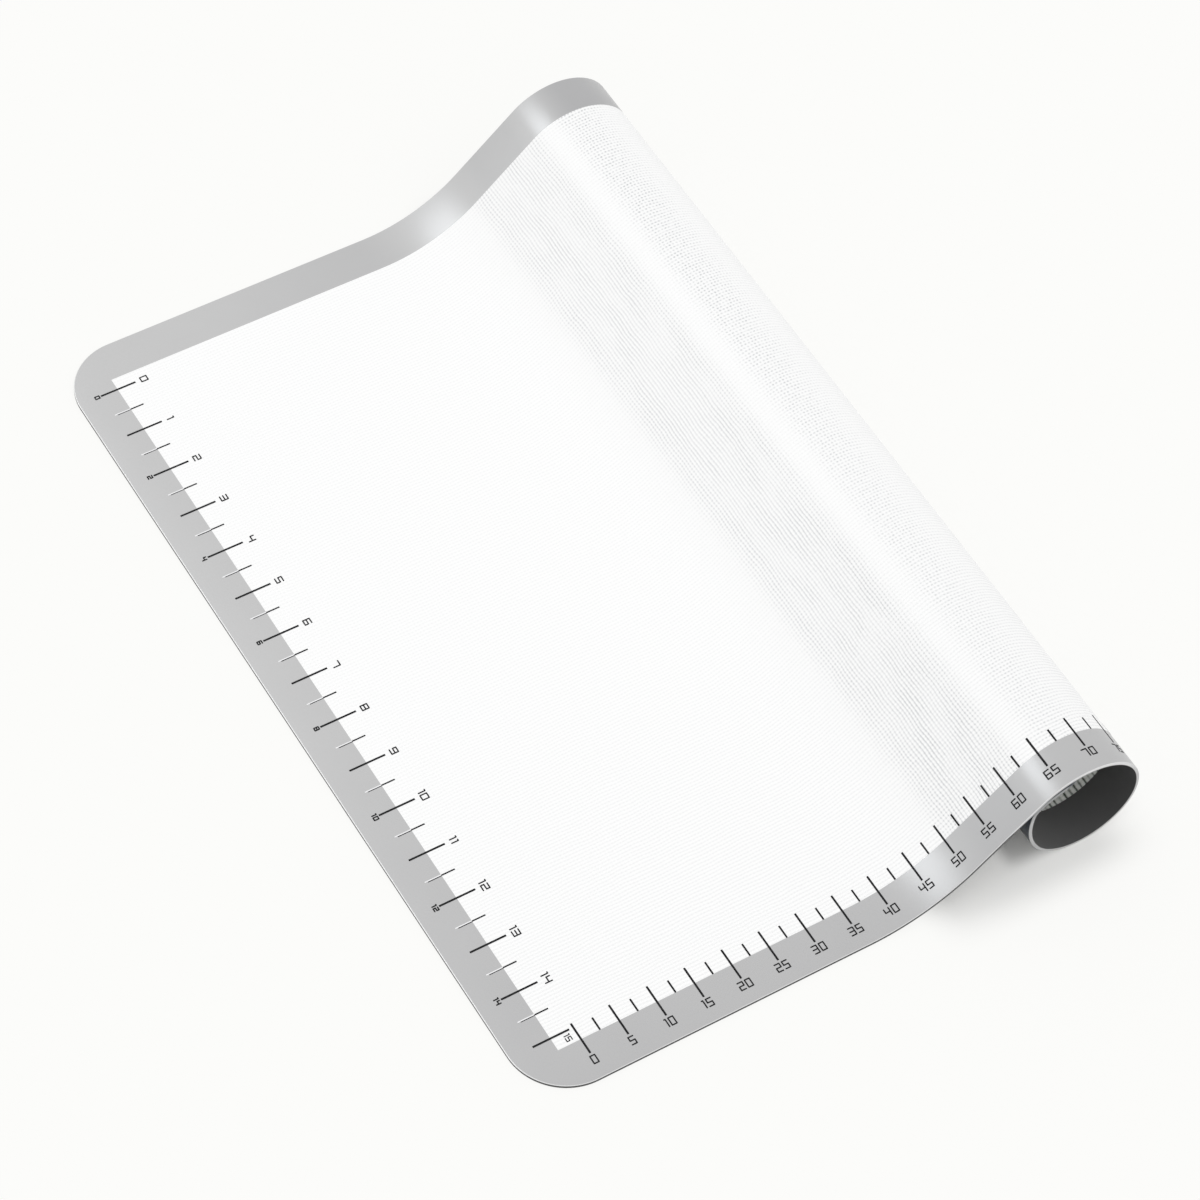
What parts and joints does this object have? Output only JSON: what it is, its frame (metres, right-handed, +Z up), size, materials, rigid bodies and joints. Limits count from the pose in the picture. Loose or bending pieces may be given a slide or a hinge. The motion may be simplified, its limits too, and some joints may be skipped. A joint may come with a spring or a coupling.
{
  "type": "silicone baking mat",
  "caption": "Rectangular silicone baking mat with a grey border and printed rulers, lying flat at one end and rolled up at the other.",
  "frame": {"origin": "middle of the footprint, on the table under the mat", "axes": "+X from the flat end to the roll, +Y across the mat from the front edge to the back, +Z up from the table"},
  "size_m": [0.2888, 0.432, 0.0571],
  "materials": {
    "glass_mesh": "woven glass fibre",
    "white_silicone": "satin, with the weave showing through",
    "bare_silicone": "satin, translucent over the weave",
    "grey_silicone": "satin",
    "black_ink": "printed ink",
    "pale_ink": "printed ink"
  },
  "bodies": {
    "root": {"glass_mesh_core": "glass_mesh", "top_silicone_skin": "white_silicone", "bottom_silicone_skin": "bare_silicone", "border_frame": "grey_silicone", "front_ruler_long_ticks": "black_ink", "front_ruler_short_ticks": "black_ink", "front_ruler_numbers": "black_ink", "side_ruler_long_ticks": "black_ink", "side_ruler_short_ticks": "black_ink", "side_ruler_pale_ticks": "pale_ink", "side_ruler_numbers": "black_ink", "side_ruler_edge_numbers": "black_ink"}
  },
  "joints": []
}
